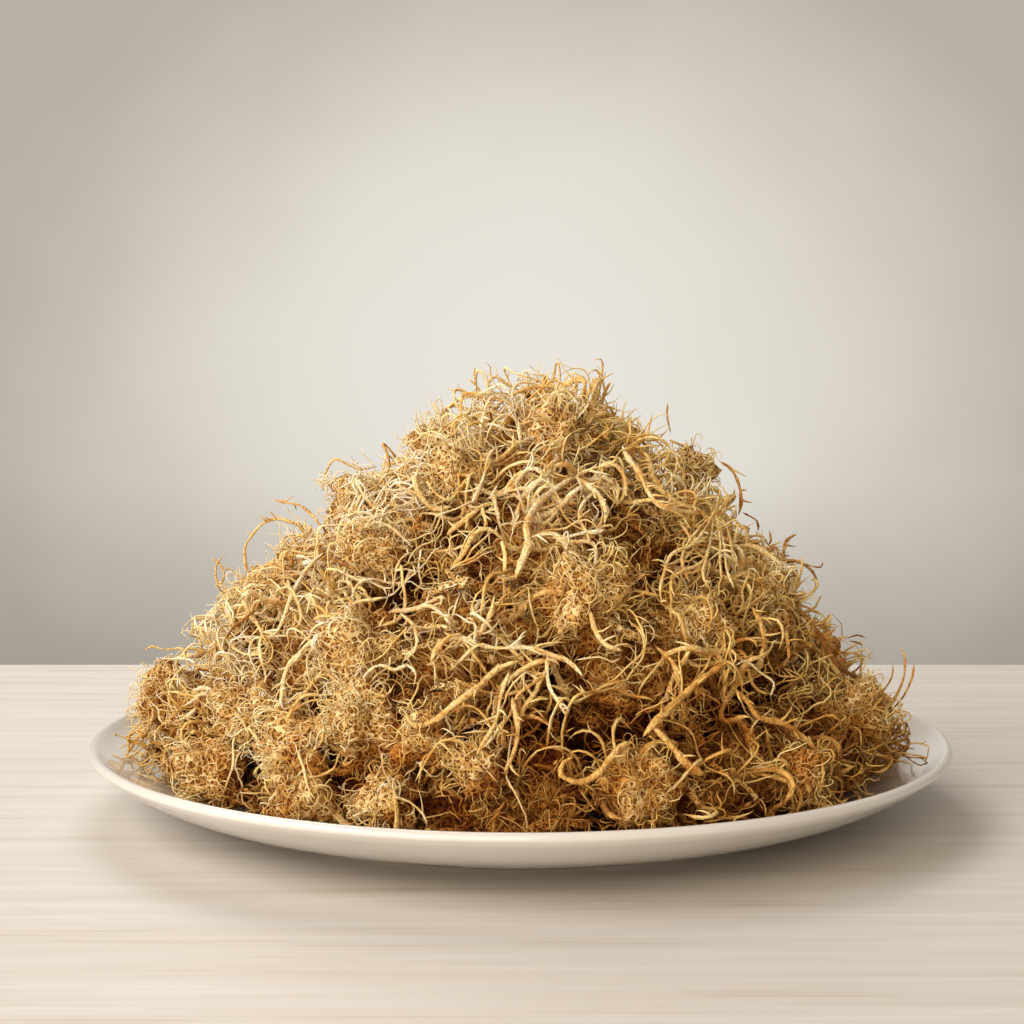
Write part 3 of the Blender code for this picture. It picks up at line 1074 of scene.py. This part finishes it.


# The strands that stand out in the photo: stems and twigs of the same dried moss, each traced through a
# few of its pixels and laid over the heap as one strand with branchlets.
# Radius in mm, tint (0 dark brown, 1 nearly white), height over the outline in mm, pixels
traced = (
    # The arch and the twigs at the left
    (0.80, 0.38, 2, ((318, 536), (305, 528), (291, 522), (276, 519), (262, 524), (250, 538),
                     (245, 548), (246, 566), (252, 578), (258, 590))),
    (1.20, 0.74, 4, ((325, 552), (314, 561), (303, 575), (292, 595), (285, 614), (278, 630),
                     (266, 640))),
    (0.70, 0.00, 6, ((325, 555), (340, 562), (356, 570))),
    (0.60, 0.00, 6, ((256, 610), (243, 620), (234, 627), (225, 639))),
    (0.60, 0.35, 3, ((226, 553), (216, 566), (218, 586), (228, 596), (242, 603))),
    (0.55, 0.40, 3, ((210, 558), (218, 562), (224, 572), (222, 585))),
    (0.70, 0.42, 1, ((271, 499), (283, 502), (299, 505), (313, 516), (322, 528))),
    (0.60, 0.36, 2, ((322, 492), (326, 472), (335, 459), (347, 464), (361, 469), (378, 466))),
    (0.40, 0.40, 2, ((310, 478), (318, 482), (325, 491))),
    (0.50, 0.45, 2, ((143, 652), (152, 646), (165, 650), (178, 648), (190, 652))),
    (1.20, 0.60, 4, ((329, 629), (310, 643), (298, 655), (288, 667), (283, 683), (280, 705),
                     (271, 715))),
    (0.60, 0.86, 5, ((361, 681), (370, 670), (381, 665), (395, 670), (407, 665), (416, 674),
                     (413, 688))),
    (0.65, 0.70, 5, ((400, 613), (413, 625), (417, 641), (413, 653), (402, 662))),
    (1.10, 0.76, 4, ((498, 446), (489, 455), (485, 473), (479, 490), (471, 504))),
    # The forked stipes in the middle
    (2.00, 0.74, 5, ((575, 476), (561, 485), (545, 497), (534, 508), (527, 526), (528, 545),
                     (520, 566), (515, 580))),
    (1.20, 0.72, 5, ((575, 476), (588, 485), (600, 497), (606, 513), (604, 524))),
    (1.10, 0.70, 5, ((598, 489), (583, 503), (579, 519), (587, 532), (590, 545))),
    (1.50, 0.80, 5, ((531, 537), (544, 534), (555, 535), (566, 545), (574, 563), (591, 568),
                     (596, 578))),
    (0.80, 0.90, 6, ((562, 539), (575, 535), (589, 532), (607, 530))),
    (1.40, 0.78, 5, ((622, 445), (628, 458), (639, 473), (647, 490), (658, 505), (670, 510),
                     (688, 512), (702, 514))),
    # The branched pale stipe and its tines
    (1.30, 0.66, 4, ((430, 664), (436, 650), (444, 641), (460, 638), (487, 647), (512, 648))),
    (1.15, 0.92, 6, ((498, 649), (521, 647), (537, 650), (550, 655), (566, 660), (577, 669),
                     (584, 678))),
    (0.75, 0.94, 6, ((548, 654), (547, 673), (550, 688), (559, 703), (567, 717))),
    (0.70, 0.92, 6, ((538, 650), (552, 657), (560, 667))),
    (1.50, 0.62, 4, ((521, 660), (498, 669), (476, 689), (453, 705), (437, 719), (416, 726),
                     (404, 713))),
    (0.85, 0.70, 5, ((510, 669), (501, 696), (496, 722), (482, 745), (476, 757))),
    (1.00, 0.68, 5, ((512, 696), (514, 706), (518, 728), (514, 752), (504, 774))),
    # The lock that hangs at the right
    (0.80, 0.76, 5, ((713, 514), (703, 532), (692, 545), (672, 554), (664, 573), (660, 591),
                     (663, 606))),
    (0.70, 0.70, 5, ((713, 516), (710, 545), (701, 563), (685, 570), (669, 578))),
    (0.65, 0.72, 5, ((714, 516), (709, 549), (703, 572), (708, 589))),
    (0.70, 0.66, 5, ((715, 515), (720, 540), (720, 559), (722, 582))),
    (0.60, 0.66, 5, ((715, 514), (727, 527), (734, 559), (741, 568))),
    (0.60, 0.68, 5, ((712, 515), (698, 530), (684, 550), (683, 566), (690, 584))),
    (0.60, 0.72, 5, ((716, 514), (724, 545), (727, 570), (735, 590))),
    # The right side
    (0.85, 0.38, 2, ((765, 572), (775, 563), (795, 561), (809, 568), (816, 579), (814, 592))),
    (0.75, 0.38, 2, ((782, 572), (784, 560), (784, 545), (789, 538), (797, 534))),
    (0.40, 0.35, 3, ((797, 561), (811, 566), (821, 567), (823, 561))),
    (0.80, 0.36, 2, ((719, 461), (731, 469), (739, 485), (741, 504), (738, 516))),
    (0.90, 0.40, 2, ((684, 498), (692, 497), (701, 490), (709, 486))),
    (0.75, 0.30, 2, ((668, 440), (679, 444), (695, 453), (711, 460))),
    (0.50, 0.30, 2, ((742, 512), (757, 521), (758, 532))),
    (0.50, 0.40, 2, ((768, 546), (771, 540), (769, 529))),
    (1.80, 0.62, 5, ((642, 738), (655, 722), (676, 703), (695, 685), (713, 671), (731, 659))),
    (0.45, 1.00, 7, ((735, 666), (746, 661), (761, 673), (774, 683), (770, 697))),
    (1.30, 0.52, 5, ((733, 687), (747, 701), (759, 717), (784, 724), (807, 740), (825, 763))),
    (1.90, 0.56, 5, ((650, 725), (662, 735), (676, 751), (690, 767), (706, 776))),
    (1.60, 0.66, 5, ((577, 756), (564, 762), (561, 775), (578, 782), (596, 775), (616, 752),
                     (630, 740))),
    (1.10, 0.72, 5, ((590, 610), (596, 632), (607, 646), (624, 651))),
    (0.40, 0.95, 7, ((575, 660), (600, 657), (612, 662), (622, 657))),
    (1.20, 0.20, 3, ((812, 622), (827, 648), (841, 668), (864, 681))),
    (0.40, 0.10, 3, ((846, 639), (857, 635), (866, 638))),
    (0.35, 0.10, 3, ((848, 641), (856, 642), (864, 646))),
    (1.10, 0.55, 5, ((752, 606), (761, 625), (764, 644), (760, 656))),
    (0.70, 0.66, 5, ((786, 629), (788, 645), (789, 660))),
    (0.60, 0.55, 2, ((884, 716), (894, 700), (903, 680), (905, 660), (901, 646))),
    (0.50, 0.50, 2, ((890, 712), (903, 697), (912, 678), (914, 664))),
    (0.45, 0.50, 2, ((872, 702), (884, 690), (892, 676), (893, 662))),
    # The wisps on top
    (0.50, 0.40, 0, ((486, 402), (482, 394), (474, 383), (466, 379))),
    (0.40, 0.40, 0, ((476, 386), (474, 375), (475, 366))),
    (1.30, 0.42, 0, ((598, 416), (602, 404), (604, 394), (611, 381))),
    (0.40, 0.40, 1, ((671, 434), (667, 416), (668, 402))),
    (0.90, 0.46, 1, ((505, 398), (528, 388), (548, 386), (565, 390), (580, 402))),
    (0.80, 0.50, 1, ((440, 420), (452, 404), (470, 396), (492, 392))),
    (0.80, 0.30, 2, ((604, 412), (625, 424), (645, 434), (664, 446))),
)
TRACED_STEP = 0.0022
TRACED_TWIST = 0.15
TRACED_BLUNT = 10
TRACED_TINES = 0.22
TINED_RADIUS = 0.00065
# Drawn just as traced they looked too pale, and the ones over 1 mm in radius too stout
TRACED_DARKER = 0.12
TRACED_MM = 0.001
STOUT_RADIUS = 1
STOUT_MM = 0.0008


def through(pixels, lift):
    """A smooth path through the points that the photo shows at those pixels."""
    stops = [seen(*pixel, lift) for pixel in pixels]
    stops = [2 * stops[0] - stops[1]] + stops + [2 * stops[-1] - stops[-2]]
    path = []
    for a, b, c, d in zip(stops, stops[1:], stops[2:], stops[3:]):
        count = max(2, round((c - b).length / TRACED_STEP))
        for number in range(count):
            t = number / count
            bend = (2 * a - 5 * b + 4 * c - d) * t * t + (3 * b - a - 3 * c + d) * t**3
            path.append(clear_of_plate(0.5 * (2 * b + (c - a) * t + bend)))
    path.append(clear_of_plate(stops[-2]))
    return path


rng = random.Random(31)
stems, branchlets = [], []
for radius, tint, lift, pixels in traced:
    tint -= TRACED_DARKER
    points = through(pixels, lift / 1000)
    radius *= STOUT_MM if radius > STOUT_RADIUS else TRACED_MM
    stems.append((points, knobbly(len(points), radius, TRACED_BLUNT, rng), tint))
    if radius > TINED_RADIUS:
        branchlets += tines(points, radius, tint, TRACED_TINES, rng)
mesh = strands_mesh("traced_stipes", stems, stipes_section, TRACED_TWIST)
moss_piece("traced_stipes", mesh, thick_thallus)
mesh = strands_mesh("traced_branchlets", branchlets, threads_section, 0.0)
moss_piece("traced_branchlets", mesh, thin_thallus)


# The table that the plate stands on: a maple board, oiled and matte, cut straight along its
# back edge. It is a plain block, and stage only, no part of the object.
TABLE_LENGTH = 3.2
TABLE_DEPTH = 2.2
TABLE_THICKNESS = 0.03
TABLE_BACK = 0.348
TABLE_DROP = 0.0152

bm = bmesh.new()
bmesh.ops.create_cube(bm, size=1)
bmesh.ops.scale(bm, vec=(TABLE_LENGTH, TABLE_DEPTH, TABLE_THICKNESS), verts=bm.verts[:])
bmesh.ops.translate(bm, vec=(0, TABLE_BACK - TABLE_DEPTH / 2, -TABLE_DROP), verts=bm.verts[:])
table_top = bpy.data.meshes.new("table")
bm.to_mesh(table_top)
bm.free()
table = in_scene("table", table_top)


def pale_wood():
    """Pale maple, oiled and matte, with faint straight grain along the table."""
    made, tree = material_named("pale_wood")
    place = add(tree, "TexCoord", {}, {}).outputs["Object"]
    # Streaks 10 mm wide and 180 mm long, and in them fine lines 2 mm wide and 110 mm long
    spread = add(tree, "Mapping", {}, {"Vector": place, "Scale": (1.4, 26.0, 1.0)})
    grain = add(
        tree,
        "TexNoise",
        {},
        {"Vector": spread.outputs[0], "Scale": 4.0, "Detail": 6.0, "Roughness": 0.6},
    )
    fine = add(tree, "Mapping", {}, {"Vector": place, "Scale": (1.0, 60.0, 1.0)})
    lines = add(tree, "TexNoise", {}, {"Vector": fine.outputs[0], "Scale": 9.0, "Detail": 3.0})
    mixed = add(
        tree,
        "Math",
        {"operation": "MULTIPLY_ADD"},
        {0: lines.outputs["Fac"], 1: 0.45, 2: grain.outputs["Fac"]},
    )
    tone = add(
        tree,
        "ValToRGB",
        {"stops": [(0.50, "#BDB3A6"), (0.62, "#CBC5BC"), (0.75, "#CFCAC3"), (0.92, "#D5D2CC")]},
        {"Fac": mixed.outputs[0]},
    )
    shader = add(
        tree,
        "BsdfPrincipled",
        {},
        {"Base Color": tone.outputs["Color"], "Roughness": 0.5, "IOR": 1.5},
    )
    add(tree, "OutputMaterial", {}, {"Surface": shader.outputs["BSDF"]})
    return made


table_top.materials.append(pale_wood())


# The wall behind: warm grey plaster, smooth and far out of focus. It is half a drum round the
# table that glows faintly by itself, so that no lamp draws a patch on it, and stage only.
WALL_RADIUS = 2.4
WALL_FOOT = -0.9
WALL_TOP = 2.2
WALL_STEPS = 64


def plaster_wall():
    """Plaster out of focus, its glow painted light: brightest behind the heap like a pool of light,
    with clouds half a metre wide.
    """
    made, tree = material_named("plaster_wall")
    place = add(tree, "TexCoord", {}, {}).outputs["Object"]
    spread = add(
        tree,
        "Mapping",
        {},
        {"Vector": place, "Location": (-0.02, 0, -0.20), "Scale": (0.90, 0.0, 1.0)},
    )
    far = add(tree, "VectorMath", {"operation": "LENGTH"}, {0: spread.outputs[0]})
    cloud = add(tree, "TexNoise", {}, {"Vector": place, "Scale": 2.2, "Detail": 3.0})
    soft = add(
        tree,
        "Math",
        {"operation": "MULTIPLY_ADD"},
        {0: cloud.outputs["Fac"], 1: 0.25, 2: far.outputs["Value"]},
    )
    tone = add(
        tree,
        "ValToRGB",
        {
            "blend": "B_SPLINE",
            "stops": [
                (0.15, "#EBE7DE"),
                (0.50, "#E5E0D6"),
                (0.72, "#CFC8BC"),
                (0.90, "#C0B8AC"),
                (1.0, "#B8AFA2"),
            ],
        },
        {"Fac": soft.outputs[0]},
    )
    # Painted shade: darker towards the table
    level = add(tree, "SeparateXYZ", {}, {0: place})
    low = add(
        tree, "MapRange", {}, {"Value": level.outputs["Z"], 1: -0.32, 2: 0.02, 3: 0.77, 4: 1.0}
    )
    shader = add(
        tree,
        "BsdfPrincipled",
        {},
        {
            "Base Color": (0.0, 0.0, 0.0, 1.0),
            "Roughness": 1.0,
            "Specular IOR Level": 0.0,
            "Emission Color": tone.outputs["Color"],
            "Emission Strength": low.outputs[0],
        },
    )
    add(tree, "OutputMaterial", {}, {"Surface": shader.outputs["BSDF"]})
    return made


bm = bmesh.new()
foot = bm.verts.new((WALL_RADIUS, 0, WALL_FOOT))
head = bm.verts.new((WALL_RADIUS, 0, WALL_TOP))
rib = bm.edges.new((foot, head))
bmesh.ops.spin(
    bm,
    geom=[foot, head, rib],
    cent=(0, 0, 0),
    axis=(0, 0, 1),
    angle=math.pi,
    steps=WALL_STEPS,
)
wall_mesh = bpy.data.meshes.new("wall")
bm.to_mesh(wall_mesh)
bm.free()
wall_mesh.shade_smooth()
wall_mesh.materials.append(plaster_wall())
wall = in_scene("wall", wall_mesh)


# The light of the room: big softboxes high on the left and low in front, a small one behind
# that draws the heap's outline, and a faint even light. Name, place, size in m, watts, colour.
LIGHT_AIM = Vector((0, 0, 0.07))
ROOM_LIGHT = 0.28

for label, place, size, power, code in (
    ("key", (-2.10, -0.85, 1.70), 1.9, 59.0, "#FDFBFC"),
    ("front", (-0.80, -2.00, 0.80), 2.0, 51.0, "#FFEAD2"),
    ("back", (-0.25, 0.95, 1.10), 0.8, 9.0, "#FFFAF4"),
):
    lamp_data = bpy.data.lights.new(label, "AREA")
    lamp_data.size = size
    lamp_data.energy = power
    lamp_data.color = linear(code)[:3]
    lamp = in_scene(label, lamp_data)
    lamp.location = place
    lamp.rotation_euler = (LIGHT_AIM - Vector(place)).to_track_quat("-Z", "Y").to_euler()

world = bpy.data.worlds.new("room")
world.use_nodes = True
background = world.node_tree.nodes["Background"]
background.inputs["Color"].default_value = linear("#ECE4D8")
background.inputs["Strength"].default_value = ROOM_LIGHT
bpy.context.scene.world = world
bpy.context.scene.view_settings.view_transform = "Standard"
